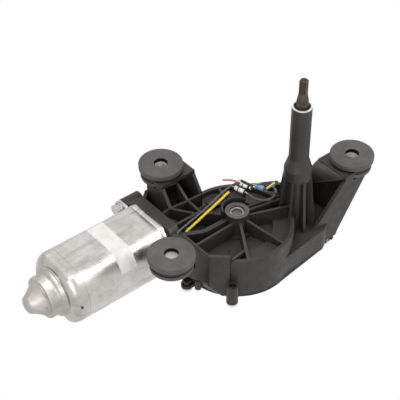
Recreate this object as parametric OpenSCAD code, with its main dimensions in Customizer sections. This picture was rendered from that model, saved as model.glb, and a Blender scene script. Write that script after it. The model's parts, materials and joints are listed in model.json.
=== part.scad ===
// Rear wiper motor: a motor can on a ribbed gear housing with three rubber-mounted ears
// and a tall output spindle. Millimetres, +Z up along the spindle, motor along X.
// The origin is the centre of the bottom cover's flat face, on the worm wheel's axis.

/* [Gears] */
// Teeth of the worm wheel, which is also the reduction, as the worm has one start
wheel_teeth = 50; // [50:1:52]
// Module of the worm and the wheel
gear_module = 1.25; // [1.2:0.01:1.26]
// Pitch radius of the worm
worm_pitch_r = 4.15; // [4:0.05:4.4]
// Face width of the worm wheel
wheel_w = 9; // [7:0.5:9]

/* [Motor] */
// Diameter of the can across its round sides
can_d = 50; // [48:0.5:51]
// Size of the can across its flats
can_flat = 41; // [40:0.5:41.5]
// Radius of the edges between flats and round sides
can_edge_r = 4; // [2:0.5:5]
// Wall of the can
can_wall = 1.6; // [1.2:0.1:2]
// Rounding of the can's closed end
can_end_r = 7; // [4:0.5:8]
// Length of the can from its mouth to its closed end
can_len = 77.5; // [75:0.5:80]
// Diameter of the armature stack
armature_d = 35.4; // [34:0.1:35.6]
// Slots in the armature stack
armature_slots = 12; // [8:2:14]

/* [Gear housing] */
// Outer radius of the round gear chamber
chamber_r = 38; // [37.5:0.1:38.5]
// Wall of the gear chamber
wall = 2.6; // [2.2:0.1:2.8]
// Thickness of a stiffening rib
rib_t = 1.8; // [1.2:0.1:2.4]
// Height of the round wall's rim
rim_z = 34; // [32:0.5:36]
// Height of the rib tops
rib_z = 39.5; // [38.5:0.5:41]
// Height of the boss over the wheel's axle
boss_z = 44; // [43:0.5:45]
// Diameter of that boss
boss_d = 16; // [15:0.5:17]

/* [Ears] */
// Height of the grommets' top faces
ear_z = 59; // [58:0.5:61]
// Diameter of a rubber grommet
grommet_d = 30; // [28:0.5:31]
// Height from an ear's plate to the top of its grommet
grommet_top = 5.5; // [5:0.1:6]
// Thickness of a grommet's lower flange
grommet_low = 3; // [2.5:0.1:3.5]
// Thickness of an ear's plate, held in the grommet's groove
ear_t = 2.5; // [2.2:0.1:3]
// Inner radius of a grommet's steel sleeve
sleeve_r = 3.2; // [3:0.05:3.5]

/* [Spindle and tower] */
// Height of the tower's top
tower_z = 116; // [112:1:120]
// Diameter of the tower's slim upper part
tower_d = 13.3; // [13:0.1:14]
// Diameter of the tower's lower part
tower_low_d = 18.6; // [18:0.1:19.4]
// Height at which the slim part starts
shoulder_z = 76; // [74:1:78]
// Diameter of the output spindle
spindle_d = 9; // [8:0.5:9]
// Height of the spindle's tip
tip_z = 137; // [134:1:140]
// Length of the M6 end of the spindle
thread_len = 10; // [8:0.5:12]
// Swing of the spindle over one stroke
sweep_deg = 108; // [100:1:110]

/* [Hidden] */
$fn = 64;
fit = 0.05;
gap = 0.3;

// Colours as photographed
housing_col = [0.17, 0.165, 0.16];
steel_col = [0.72, 0.72, 0.73];
zinc_col = [0.70, 0.69, 0.67];
rubber_col = [0.32, 0.31, 0.30];
dark_col = [0.09, 0.09, 0.09];

// Gears and motor axis
pitch_r = wheel_teeth * gear_module / 2;
tooth_pitch = PI * gear_module;
motor_y = pitch_r + worm_pitch_r;
motor_z = can_flat / 2;
worm_tip_r = worm_pitch_r + gear_module;
worm_root_r = worm_pitch_r - gear_module * 1.1;
worm_half = 3 * tooth_pitch;
shaft_r = 4;

// Stations along the motor axis
flange_x = -37;
flange_t = 8;
mouth_x = flange_x - flange_t;
can_end_x = mouth_x - can_len;
collar_x = can_end_x - 10;
nose_x = collar_x - 11;
stack_x0 = -108;
stack_x1 = -68;
end_bush_x = 22;
end_bush_len = 8;

// Heights in the gear chamber
cover_face = 0;
cover_t = 2;
flange_z = 2.5;
gasket_t = 0.5;
base_z = flange_z + cover_t + gasket_t;
wheel_z0 = motor_z - wheel_w / 2;
wheel_z1 = motor_z + wheel_w / 2;
roof_in = wheel_z1 + 0.8;
floor_z = roof_in + 2;
ledge_z = floor_z + 2.4;
foot_z = floor_z - 1.2;
low_roof = 20.5;
low_ceiling = 15.5;
rod_z = 10.6;
rod_t = 3;
rocker_z = 6.2;
rocker_t = 3.4;

// Spindle axis and linkage, a crank and rocker whose two dead points lie half a turn apart
spindle = [41, -12.5];
axis_gap = norm(spindle);
rocker_r = 16;
crank_r = rocker_r * sin(sweep_deg / 2);
rod_len = sqrt(crank_r * crank_r + axis_gap * axis_gap - rocker_r * rocker_r);
line_offset = rocker_r * cos(sweep_deg / 2);
dead_line = atan2(spindle.y, spindle.x) + asin(line_offset / axis_gap);
crank_at = -crank_r * [cos(dead_line), sin(dead_line)];
rocker_at = (rod_len - crank_r) * [cos(dead_line), sin(dead_line)];

// Ears, clockwise from the one behind the motor flange
ear_a = [-19, 56];
ear_b = [-67.5, -16.5];
ear_c = [86, -18];
ears = [ear_a, ear_b, ear_c];
plate_z1 = ear_z - grommet_top;
plate_z0 = plate_z1 - ear_t;
plate_r = 13;
groove_r = 9.5;

// Plan of the gear chamber: a round wheel chamber drawn out to the spindle and ear C
chamber_plan = [[[0, 0], chamber_r], [[48, -26.6], 6], [[58, -22], 6], [[58, 3.5], 7]];
low_plan = [[[0, 0], chamber_r - 0.5], [[48, -26.6], 6], [[58, -22], 6], [[58, 3.5], 7]];
// Plan of the box beside it, over the worm and the brushes
box_plan = [[-39, -5], [-39, -17], [-28.7, -26.7], [0, -20], [0, 36.5], [-3, 36.5], [-3, 57],
            [-31, 57], [flange_x, 52], [flange_x, 13], [-39, 13]];
bay_plan = [[-38.4, -5], [-38.4, -16.7], [-28.6, -25.8], [-0.6, -19.4], [-0.6, 36], [-3.6, 36.9], [-3.6, 56.2],
            [-30.7, 56.2], [-36.4, 51.6], [-36.4, 13.5], [-38.4, 13.5]];
box_front = [[-28.7, -26.7], [-39, -17], [-39, 12]];
box_back = [[flange_x, 52], [-31, 57], [-3, 57], [-3, 34]];

// Screws of the cover and of the motor
cover_screw_at = [[-29.5, -30.5], [-43.2, -0.8], [59, -29.5], [66, 6], [24, 38], [1, 59], [-29, 61]];
cover_lug_to = [[-24, -25], [-35, -0.8], [56, -23], [60, 3], [19, 30], [-5, 52], [-26, 54]];
motor_screw_at = [[motor_y + 30.4, motor_z + 6.5], [motor_y - 30.4, motor_z - 6.5]];
screw_r = 2;
boss_screw_r = 3.9;

// Routes of the wires, hand placed, in the object's frame
yellow_route = [[-34.8, 10.4, 30], [-35.1, 10.4, 35], [-34.4, 10.2, 38.1], [-29, 10.5, 39.7], [-20, 11.2, 42.2],
                [-11, 11.8, 44.7], [-4, 12.3, 46.7], [2, 12.8, 48.5], [4, 12.9, 49]];
grey_route = [[-42, 8.4, 30], [-42.2, 9.2, 35.5], [-41, 10.6, 40.8], [-31, 12.2, 42.2], [-20, 13.2, 44],
              [-10, 14.2, 46.2], [-2, 15, 48.4], [5, 15.6, 49.8], [8.6, 15.6, 50]];
red_route = [[8, 24, 50], [10.6, 21, 51.4], [12.6, 18, 51.6], [15, 16.4, 50.3]];
black_route = [[12.2, 7.2, 48.9], [13.4, 3.4, 47.5], [16, 0, 45], [20, -3, 43.5], [25, -4.6, 42.6],
               [30, -3.4, 42], [34.4, 0.2, 41.8], [36.5, 3.4, 40], [37, 5.2, 36]];
green_route = [[16.6, 7.2, 49], [18.7, 7.9, 48.8], [22, 8.8, 48.2], [24.9, 9, 47.1], [28, 9.6, 45.7], [30, 10.6, 43.4]];
pale_route = [[30.6, 5.6, 41.8], [34, 5.4, 42.4], [37.6, 6.2, 42.2], [40, 8, 40], [40.6, 9, 36]];

// Plain helpers

function unit(v) = v / norm(v);
function turn90(v) = [-v.y, v.x];

// Where the outer tangent of two circles leaves the first and meets the second
function tangent(a, b) =
    let (d = b[0] - a[0], l = norm(d), c = (a[1] - b[1]) / l, s = sqrt(1 - c * c),
         n = c * d / l - s * turn90(d) / l)
    [a[0] + a[1] * n, b[0] + b[1] * n];

// The outline that hugs circles listed anticlockwise as [centre, radius], inset evenly.
// Its straight sides cut the circles a hair inside their tangents, so that edges cross cleanly.
side_in = 0.15;
module hugged(circles, inset = 0) {
    cs = [for (c = circles) [c[0], c[1] - inset]];
    n = len(cs);
    low = [for (c = cs) [c[0], c[1] - side_in]];
    polygon([for (i = [0:n - 1]) for (p = tangent(low[i], low[(i + 1) % n])) p]);
    for (c = cs) translate(c[0]) circle(r = c[1]);
}

module tube(r1, r0, z0, z1) {
    translate([0, 0, z0]) difference() {
        cylinder(r = r1, h = z1 - z0);
        translate([0, 0, -1]) cylinder(r = r0, h = z1 - z0 + 2);
    }
}

// Turns a shape drawn along +Z so that it runs along +X on the motor axis, from x
module on_motor(x) translate([x, motor_y, motor_z]) rotate([0, 90, 0]) children();

module ring_x(r1, r0, x0, x1) {
    on_motor(x0) difference() {
        cylinder(r = r1, h = x1 - x0);
        translate([0, 0, -1]) cylinder(r = r0, h = x1 - x0 + 2);
    }
}

// A straight rib between two points of the plan, its top running from z1 to z2
module rib(p, q, z0, z1, z2 = undef, t = rib_t) {
    l = norm(q - p);
    n = t / 2 * turn90(unit(q - p));
    if (is_undef(z2)) translate([0, 0, z0]) linear_extrude(z1 - z0) polygon([p - n, q - n, q + n, p + n]);
    else translate([p.x, p.y, 0]) rotate([0, 0, atan2(q.y - p.y, q.x - p.x)])
        translate([0, t / 2, 0]) rotate([90, 0, 0]) linear_extrude(t)
            polygon([[0, z0], [l, z0], [l, z2], [0, z1]]);
}

// A wall along a list of points, with mitred corners
function mitre(pts, i, s) =
    let (d0 = unit(pts[max(i, 1)] - pts[max(i, 1) - 1]), j = min(i, len(pts) - 2),
         d1 = unit(pts[j + 1] - pts[j]), n = turn90(d0) + turn90(d1))
    pts[i] + s * n / (1 + turn90(d0) * turn90(d1));
module wall_along(pts, z0, z1, t) translate([0, 0, z0]) linear_extrude(z1 - z0) polygon(concat(
    [for (i = [0:len(pts) - 1]) mitre(pts, i, t / 2)],
    [for (i = [len(pts) - 1:-1:0]) mitre(pts, i, -t / 2)]
));

// A round tube of 8 sides swept along a route
function route_dir(r, i) =
    unit(r[min(i + 1, len(r) - 1)] - r[max(i - 1, 0)]);
function side_of(d) = unit(cross(d, abs(d.z) > 0.9 ? [0, 1, 0] : [0, 0, 1]));
module swept(route, r, sides = 8) {
    n = len(route);
    pts = [for (i = [0:n - 1]) let (d = route_dir(route, i), u = side_of(d), v = cross(u, d))
           for (k = [0:sides - 1]) let (a = 360 * k / sides) route[i] + r * (cos(a) * u + sin(a) * v)];
    sides_f = [for (i = [0:n - 2]) for (k = [0:sides - 1]) let (m = (k + 1) % sides)
               [i * sides + k, i * sides + m, (i + 1) * sides + m, (i + 1) * sides + k]];
    first = [for (k = [sides - 1:-1:0]) k];
    last = [for (k = [0:sides - 1]) (n - 1) * sides + k];
    polyhedron(pts, concat([first], sides_f, [last]), convexity = 6);
}

// Motor

// The can's section: a circle with two flats and rounded edges between them
module can_section(inset = 0) {
    r = can_d / 2 - inset;
    h = can_flat / 2 - inset;
    e = max(can_edge_r - inset, 1);
    cy = sqrt(pow(r - e, 2) - pow(h - e, 2));
    tz = (h - e) * r / (r - e);
    intersection() {
        circle(r = r, $fn = 96);
        square([2 * tz, 3 * r], center = true);
    }
    square([2 * h, 2 * cy], center = true);
    for (sy = [-1, 1]) for (sz = [-1, 1]) translate([sz * (h - e), sy * cy]) circle(r = e);
}

// Half the can's turned shape as [radius, height], with the closed end at height 0
module turned_end(r, round_r, l) {
    square([r - round_r, l]);
    translate([0, round_r]) square([r, l - round_r]);
    translate([r - round_r, round_r]) circle(r = round_r);
}

module can_body(inset, x0, x1) {
    e = can_end_r - inset;
    l = x1 - x0;
    on_motor(x0) intersection() {
        linear_extrude(l) can_section(inset);
        rotate_extrude() turned_end(can_d / 2 - inset, e, l);
        rotate([90, 0, 0]) translate([0, 0, -can_d]) linear_extrude(2 * can_d) {
            turned_end(can_flat / 2 - inset, e, l);
            mirror([1, 0]) turned_end(can_flat / 2 - inset, e, l);
        }
    }
}

// Collar, ring step and blunt cone on the can's closed end
module can_nose() {
    on_motor(nose_x) rotate_extrude() polygon([
        [0, 0], [3.5, 0], [5.4, 0.8], [6.4, 2.4], [11.6, 10], [12.6, 10.4], [12.6, 11],
        [13.8, 11], [14.4, 11.8], [14.6, 17.5], [16.6, 18.6], [17, 20.2], [17.6, 21], [17.6, 23], [0, 23]
    ]);
}

module motor_can() color(zinc_col) difference() {
    union() {
        can_body(0, can_end_x, mouth_x);
        can_nose();
        // Ears under the heads of the two motor screws
        for (s = motor_screw_at) translate([mouth_x - 2, s[0], s[1]]) rotate([0, 90, 0]) cylinder(r = 5.6, h = 2);
        for (s = motor_screw_at) let (side = sign(s[0] - motor_y))
            translate([mouth_x - 2, motor_y + side * 21, s[1] - 5.6]) mirror([0, side < 0 ? 1 : 0, 0])
                cube([2, 9.4, 11.2]);
    }
    can_body(can_wall, can_end_x + can_wall, mouth_x + 1);
    on_motor(collar_x - 3) cylinder(r = 8, h = 16);
    on_motor(nose_x + 4) cylinder(r = 4.6, h = 10);
    for (s = motor_screw_at) translate([mouth_x - 4, s[0], s[1]]) rotate([0, 90, 0]) cylinder(r = 2.7, h = 8);
    // Small drain notch low on the side that faces the viewer
    translate([can_end_x + 9, motor_y - can_d / 2 - 1, motor_z - 3.4]) cube([1.6, 4, 2.6]);
}

magnet_in = armature_d / 2 + 0.7;
magnet_out = can_d / 2 - can_wall - 0.15;
magnet_half_angle = 46;

module magnets() color([0.25, 0.25, 0.27]) for (side = [0, 180])
    on_motor(stack_x0 - 4) rotate([0, 0, side + 90 - magnet_half_angle])
        rotate_extrude(angle = 2 * magnet_half_angle) translate([magnet_in, 0])
            square([magnet_out - magnet_in, stack_x1 - stack_x0 + 8]);

// Two bent strips that press the magnets apart
module magnet_springs() color(steel_col) for (side = [0, 180])
    on_motor(stack_x0) rotate([0, 0, side]) translate([magnet_in - 0.3, 0, 0])
        linear_extrude(stack_x1 - stack_x0) for (s = [-1, 1])
            polygon([[0, 0], [0.6, 0], [0.5, s * 10.8], [-0.1, s * 10.8]]);

module stack_slot() {
    translate([armature_d / 2 - 2, -0.9]) square([4, 1.8]);
    translate([armature_d / 2 - 6.4, -2]) square([4.8, 4]);
    translate([armature_d / 2 - 6.4, 0]) circle(r = 2);
}

module armature_core() color([0.5, 0.5, 0.52]) on_motor(stack_x0) linear_extrude(stack_x1 - stack_x0)
    difference() {
        circle(d = armature_d);
        circle(r = shaft_r);
        for (k = [0:armature_slots - 1]) rotate(k * 360 / armature_slots) stack_slot();
    }

module armature_windings() color([0.72, 0.38, 0.18]) {
    for (k = [0:armature_slots - 1])
        on_motor(stack_x0 - 1) rotate([0, 0, k * 360 / armature_slots]) linear_extrude(stack_x1 - stack_x0 + 2)
            translate([armature_d / 2 - 6.4, -1.8]) square([4.6, 3.6]);
    for (x = [stack_x0 - 7, stack_x1 + gap]) on_motor(x) rotate_extrude() {
        translate([shaft_r + 1.5, 0]) square([armature_d / 2 - 5 - shaft_r - 1.5, 6.7]);
        translate([armature_d / 2 - 5, 3.35]) circle(r = 3.35);
    }
}

commutator_r = 11;
commutator_x = -59;
commutator_len = 14;

module commutator() color([0.78, 0.5, 0.3]) on_motor(commutator_x) difference() {
    union() {
        cylinder(r = commutator_r, h = commutator_len);
        cylinder(r = commutator_r + 1.4, h = 2);
    }
    translate([0, 0, -1]) cylinder(r = shaft_r, h = commutator_len + 2);
    for (k = [0:armature_slots - 1]) rotate([0, 0, k * 360 / armature_slots])
        translate([commutator_r - 1, -0.3, -1]) cube([4, 0.6, commutator_len + 2]);
}

// Section of the single-start worm, whose helix the twist below makes
function worm_radius(a) =
    let (tip = 0.11 * 360, root = 0.25 * 360, b = abs(a))
    b <= tip ? worm_tip_r : b >= root ? worm_root_r
        : worm_tip_r + (worm_root_r - worm_tip_r) * (b - tip) / (root - tip);
worm_angles = [-180, -150, -120, -90, -65, -39.6, -20, 0, 20, 39.6, 65, 90, 120, 150];

module worm_shaft() color(steel_col) {
    on_motor(-worm_half) linear_extrude(2 * worm_half, twist = -360 * 2 * worm_half / tooth_pitch,
                                        slices = 96, $fn = 14)
        rotate(-90 - 360 * worm_half / tooth_pitch)
            polygon([for (a = worm_angles) worm_radius(a) * [cos(a), sin(a)]]);
    on_motor(nose_x + 6) cylinder(r = shaft_r, h = -worm_half - 3 - (nose_x + 6));
    on_motor(-worm_half - 3) cylinder(r1 = shaft_r, r2 = 2.4, h = 3.5);
    on_motor(worm_half - 0.5) cylinder(r = 2.4, h = end_bush_x + end_bush_len - worm_half);
}

module rear_bearing() color([0.62, 0.5, 0.3]) ring_x(8, shaft_r + fit, collar_x - 1, collar_x + 9);

// Shielded ball bearing drawn as one turned piece with its shields set back
module front_bearing() color(steel_col) difference() {
    ring_x(9.6, shaft_r + fit, flange_x + 1, flange_x + 7);
    for (x = [flange_x, flange_x + 6.4]) ring_x(8.2, 5.6, x, x + 1.6);
}

module end_bush() color([0.62, 0.5, 0.3]) ring_x(4.6, 2.4 + fit, end_bush_x, end_bush_x + end_bush_len);

module thrust_pad() color([0.85, 0.83, 0.75])
    on_motor(end_bush_x + end_bush_len + 0.1) cylinder(r = 4.6, h = 2.4);

module brush_holder() color([0.35, 0.22, 0.14]) difference() {
    union() {
        on_motor(mouth_x - 3) linear_extrude(3) can_section(can_wall + 0.15);
        for (side = [0, 180]) on_motor(commutator_x + 3) rotate([0, 0, side + 90])
            translate([commutator_r + 1.6, -4.4, 0]) linear_extrude(mouth_x - 2 - commutator_x - 3)
                square([9.4, 8.8]);
    }
    on_motor(mouth_x - 4) cylinder(r = commutator_r + 1, h = 8);
    for (side = [0, 180]) on_motor(commutator_x + 4.4) rotate([0, 0, side + 90])
        translate([commutator_r, -3.1, 0]) cube([9.6, 6.2, 7.2]);
}

module brushes() color([0.2, 0.2, 0.21]) for (side = [0, 180])
    on_motor(commutator_x + 4.6) rotate([0, 0, side + 90]) difference() {
        translate([commutator_r - 0.6, -2.9, 0]) cube([6.2, 5.8, 6.8]);
        translate([0, 0, -1]) cylinder(r = commutator_r + 0.05, h = 12);
    }

function coil_route(turns, r, l, steps = 9) =
    [for (i = [0:turns * steps]) let (a = 360 * i / steps) [r * cos(a), r * sin(a), l * i / (turns * steps)]];
module brush_springs() color(steel_col) for (side = [-1, 1])
    translate([commutator_x + 8, motor_y + side * (commutator_r + 5.95), motor_z])
        rotate([side > 0 ? -90 : 90, 0, 0]) swept(coil_route(4, 2, 3.1), 0.3, 5);

module can_gasket() color(dark_col) on_motor(mouth_x) difference() {
    linear_extrude(0.6) can_section(0);
    translate([0, 0, -1]) linear_extrude(3) can_section(can_wall + 1.5);
}

// Hex flange screws through the can's ears into the housing's lugs
module motor_screws() color(steel_col) for (s = motor_screw_at)
    translate([mouth_x - 2, s[0], s[1]]) rotate([0, -90, 0]) {
        cylinder(r = 5, h = 1.1);
        cylinder(r = 4.4, h = 4.6, $fn = 6);
        translate([0, 0, -8.6]) cylinder(r = 2.45, h = 9.1);
    }

// Gear housing

module seen_along_y(points, y0, y1)
    translate([0, y1, 0]) rotate([90, 0, 0]) linear_extrude(y1 - y0) polygon(points);

module seen_along_x(points, x0, x1)
    translate([x0, 0, 0]) rotate([90, 0, 90]) linear_extrude(x1 - x0) polygon(points);

// Full height round the wheel, low past the spindle
module chamber_outside() translate([0, 0, base_z]) {
    cylinder(r = chamber_r, h = rim_z - base_z, $fn = 96);
    linear_extrude(low_roof - base_z) hugged(low_plan);
}

module chamber_inside() {
    translate([0, 0, base_z - 1]) cylinder(r = chamber_r - wall, h = roof_in - base_z + 1, $fn = 96);
    translate([0, 0, base_z - 2]) linear_extrude(low_ceiling - base_z + 2) hugged(low_plan, wall);
}

// The open bays above the chamber's roof, with a raised ledge along the round wall
module bays() {
    translate([0, 0, floor_z]) cylinder(r = 24, h = rim_z);
    translate([0, 0, ledge_z]) cylinder(r = chamber_r - wall, h = rim_z, $fn = 96);
    translate([0, 0, floor_z]) linear_extrude(rim_z) polygon(bay_plan);
}

module worm_tunnel() {
    on_motor(flange_x - 1) cylinder(r = 11.5, h = 13);
    on_motor(flange_x - 1) cylinder(r = 10, h = end_bush_x + end_bush_len + 5 - flange_x);
}

module motor_flange() {
    on_motor(mouth_x + 0.6) linear_extrude(flange_t - 0.6) intersection() {
        circle(r = can_d / 2 + 2.5, $fn = 96);
        translate([-can_flat / 2, -can_d]) square([can_flat - 0.4, 2 * can_d]);
    }
    for (s = motor_screw_at) let (side = sign(s[0] - motor_y)) {
        translate([mouth_x + 0.6, s[0], s[1]]) rotate([0, 90, 0]) cylinder(r = 5.6, h = 14);
        translate([mouth_x + 0.6, s[0] - (side > 0 ? 12 : 0), s[1] - 5.4]) cube([flange_t - 0.8, 12, 10.8]);
    }
}

// Bays of the box beside the wheel, as straight ribs between named crossings
rib_p = [-29.4, 33.6];
rib_q = [-15.4, 32];
rib_r = [-4.2, 31.6];
rib_s = [-16, 18.6];
// The room under arm B, where the box's front corner is drawn in to the round chamber
module under_arm_b() rotate([0, 0, 195.6])
    seen_along_y([[38, 4], [38.2, 5], [43.6, 14.6], [47.2, 20], [60, 20], [60, 4]], -45, 45);
module box_ribs() {
    difference() {
        union() {
            wall_along(box_front, base_z, rib_z, 2.4);
            translate([0, 0, base_z]) linear_extrude(foot_z - base_z)
                polygon([[-38.6, -1], [-38.6, -16.6], [-28.8, -26.2], [-25.5, -23.5], [-33.5, -3]]);
        }
        under_arm_b();
    }
    wall_along(box_back, base_z, rib_z, 2.4);
    rib([flange_x + 1.2, 1], [flange_x + 1.2, 53], base_z, roof_in + 1, t = 3.2);
    rib([flange_x, 18.6], rib_s, foot_z, rib_z);
    rib([flange_x, 32.6], rib_p, foot_z, rib_z);
    rib(rib_p, rib_q, foot_z, rib_z);
    rib(rib_q, rib_r, foot_z, rib_z);
    rib(rib_p, [-19.4, 18.6], foot_z, rib_z);
    rib(rib_q, rib_s, foot_z, rib_z);
    rib(rib_q, [-14.6, 44], foot_z, rib_z, 46);
    wall_along([rib_s, [-12.1, 13], [-5, 5]], foot_z, rib_z, rib_t);
}

// Ribs that run from the boss over the wheel to the walls and the tower
module boss_ribs() {
    rib([-5, -4], [-38.5, -4.8], foot_z, rib_z);
    rib([-6.5, 1.5], [-26.2, 2.2], foot_z, rib_z, t = 3.2);
    rib([-26.2, 2.2], [-38.5, 8.6], foot_z, rib_z, t = 3.2);
    rib([-3, -7], [-17.4, -31.3], foot_z, rib_z, rim_z);
    rib([2, -7], [9.9, -35.4], foot_z, rib_z, rim_z);
    rib([6, -4], spindle + [-5.8, -2.9], foot_z, rib_z);
    rib([7, 0], spindle + [-2.6, 5.8], foot_z, rib_z);
    rib([6.4, 3.4], spindle + [-4.8, 9.8], foot_z, rib_z);
    rib([2, 7], [13, 33.5], foot_z, rib_z, rim_z);
    rib([-27.9, -25.6], [-21, -17], foot_z, rib_z - 0.2, rim_z - 1);
}

tower_fins = 8;
module tower() translate([spindle.x, spindle.y, 0]) {
    rotate_extrude() polygon([
        [0, low_ceiling - 1], [7.2, low_ceiling - 1], [7.2, 60], [tower_low_d / 2, 60],
        [tower_low_d / 2, shoulder_z - 8.4], [tower_d / 2, shoulder_z], [tower_d / 2, tower_z], [0, tower_z]
    ]);
    for (k = [0:tower_fins - 1]) rotate([0, 0, 30 + k * 360 / tower_fins])
        translate([0, rib_t / 2, 0]) rotate([90, 0, 0]) linear_extrude(rib_t)
            polygon([[0, 20], [14.4, 20], [9.6, 60.5], [0, 60.5]]);
}

module boss() {
    translate([0, 0, roof_in + 1]) cylinder(d = boss_d, h = boss_z - roof_in - 1);
    translate([0, 0, roof_in + 0.6]) cylinder(d = boss_d + 6, h = floor_z + 0.9 - roof_in);
}

// An ear's plate with the plan drawn by its children
module ear_plate() translate([0, 0, plate_z0]) linear_extrude(ear_t) children();

module ear_disc(e) translate(e) circle(r = plate_r);

// Ear A stands on a box whose front is open and slopes down to the ribs
ear_a_x = [ear_a.x - 11.4, ear_a.x + 16.6];
ear_a_side = [[33, foot_z], [33, rib_z], [40.6, plate_z0], [40.6, plate_z1], [57, plate_z1], [57, foot_z]];
module ear_a_riser() {
    for (x = [ear_a_x[0], ear_a_x[1] - 2.4]) seen_along_x(ear_a_side, x, x + 2.4);
    ear_plate() {
        ear_disc(ear_a);
        translate([ear_a_x[0], 40.6]) square([ear_a_x[1] - ear_a_x[0], 16.4]);
    }
}

// Ear B stands on an arm that climbs from the box's left wall
arm_b_plan = [[-38, -18.2], [-38, 9.6], [-61, -4.4], [-78, -9], [-78, -24], [-62, -28.4]];
arm_b_walls = [[-37, 10], [-37, rib_z], [-39, rib_z], [-52, plate_z1], [-64, plate_z1], [-64, 46],
               [-58, 38], [-43, 20.4]];
arm_b_skin = [[-37, rib_z - 2.4], [-37, rib_z], [-39, rib_z], [-52, plate_z1], [-56, plate_z1],
              [-56, plate_z0], [-53, plate_z0], [-40, rib_z - 2.4]];
module arm_b() {
    intersection() {
        translate([0, 0, base_z]) linear_extrude(plate_z1 - base_z) polygon(arm_b_plan);
        union() {
            seen_along_y(arm_b_skin, -30, 12);
            intersection() {
                seen_along_y(arm_b_walls, -30, 12);
                union() {
                    rib([-36, -19], [-66, -30.2], base_z, ear_z, t = 5.2);
                    rib([-36, 10], [-66, -7.6], base_z, ear_z, t = 5.6);
                    rib([-38, -5], [-66, -16], base_z, ear_z, t = 2);
                }
            }
        }
    }
    ear_plate() {
        ear_disc(ear_b);
        intersection() {
            polygon(arm_b_plan);
            translate([-70, -30]) square([16, 40]);
        }
    }
}

// Ear C stands on a slanting channel that opens towards the tower
arm_c_y = [-29.4, -3.2];
arm_c_side = [[42.8, low_ceiling + 1], [42.8, 20.1], [69.5, 50], [69.5, plate_z1], [92, plate_z1], [92, plate_z0],
              [64, base_z], [52, base_z]];
arm_c_web = [[61, base_z], [88.7, plate_z0 + 1], [92, plate_z0 + 1], [64, base_z]];
// The hood's cone starts at this point of its axis, leans by this angle and narrows evenly
hood = [71, -3.4, 42.6];
hood_r = 10.9;
hood_lean = 16.4;
hood_side = [[-3.3, 36.7], [-3.3, 53.48], [-29.3, 53.48], [-29.3, 53.1]];
module hood_cone(inset, s0, s1) translate(hood) rotate([90 - hood_lean, 0, 0]) translate([0, 0, s0])
    cylinder(r1 = hood_r - inset - 0.2825 * s0, r2 = hood_r - inset - 0.2825 * s1, h = s1 - s0);
module arm_c() {
    for (y = [arm_c_y[0], arm_c_y[1] - 2.5]) seen_along_y(arm_c_side, y, y + 2.5);
    seen_along_y(arm_c_web, arm_c_y[0], arm_c_y[1]);
    seen_along_y([[60, base_z], [60, low_roof], [70, low_roof], [65, base_z]], arm_c_y[0], -20);
    // The rounded hood that rolls down from the plate's edge towards the tower
    intersection() {
        difference() {
            hood_cone(0, -3, 27.5);
            hood_cone(1.8, -4, 28.5);
        }
        seen_along_x(hood_side, 55, 73);
    }
    ear_plate() {
        ear_disc(ear_c);
        polygon([[69.5, arm_c_y[1]], [69.5, arm_c_y[0]], [92, arm_c_y[0]], [92, arm_c_y[1]]]);
    }
}

// The boss beside the can's lower ear is a low one
module cover_screw_bosses() for (i = [0:len(cover_screw_at) - 1])
    translate([cover_screw_at[i].x, cover_screw_at[i].y, base_z]) cylinder(r = boss_screw_r, h = i == 1 ? 3 : 12);
module cover_screw_holes() for (i = [0:len(cover_screw_at) - 1])
    translate([cover_screw_at[i].x, cover_screw_at[i].y, 0]) {
        translate([0, 0, base_z - 1]) cylinder(r = screw_r, h = 9);
        if (i != 1) translate([0, 0, base_z + 9]) cylinder(r = 2.6, h = 4);
    }

// Short walls that tie the outlying screw bosses to the housing
module boss_links() {
    rib([-27, -28], cover_screw_at[0], base_z, base_z + 12, t = 4);
    rib([-39, -0.8], cover_screw_at[1], base_z, base_z + 3, t = 4);
    rib([63, 4.6], cover_screw_at[3], base_z, base_z + 12, t = 4);
    rib([22, 34.6], cover_screw_at[4], base_z, base_z + 12, t = 4);
    rib([-3.4, 55.4], cover_screw_at[5], base_z, base_z + 12, t = 4);
    rib([-28, 57], cover_screw_at[6], base_z, base_z + 12, t = 4);
}

// Upright wall that carries the connector
conn_at = [45.9, 19.1];
conn_turn = -30.3;
module connector_frame() translate([conn_at.x, conn_at.y, 0]) rotate([0, 0, conn_turn]) children();
module connector_wall() connector_frame() translate([-11, -2.4, base_z]) cube([22, 2.4, 24.5]);

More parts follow.
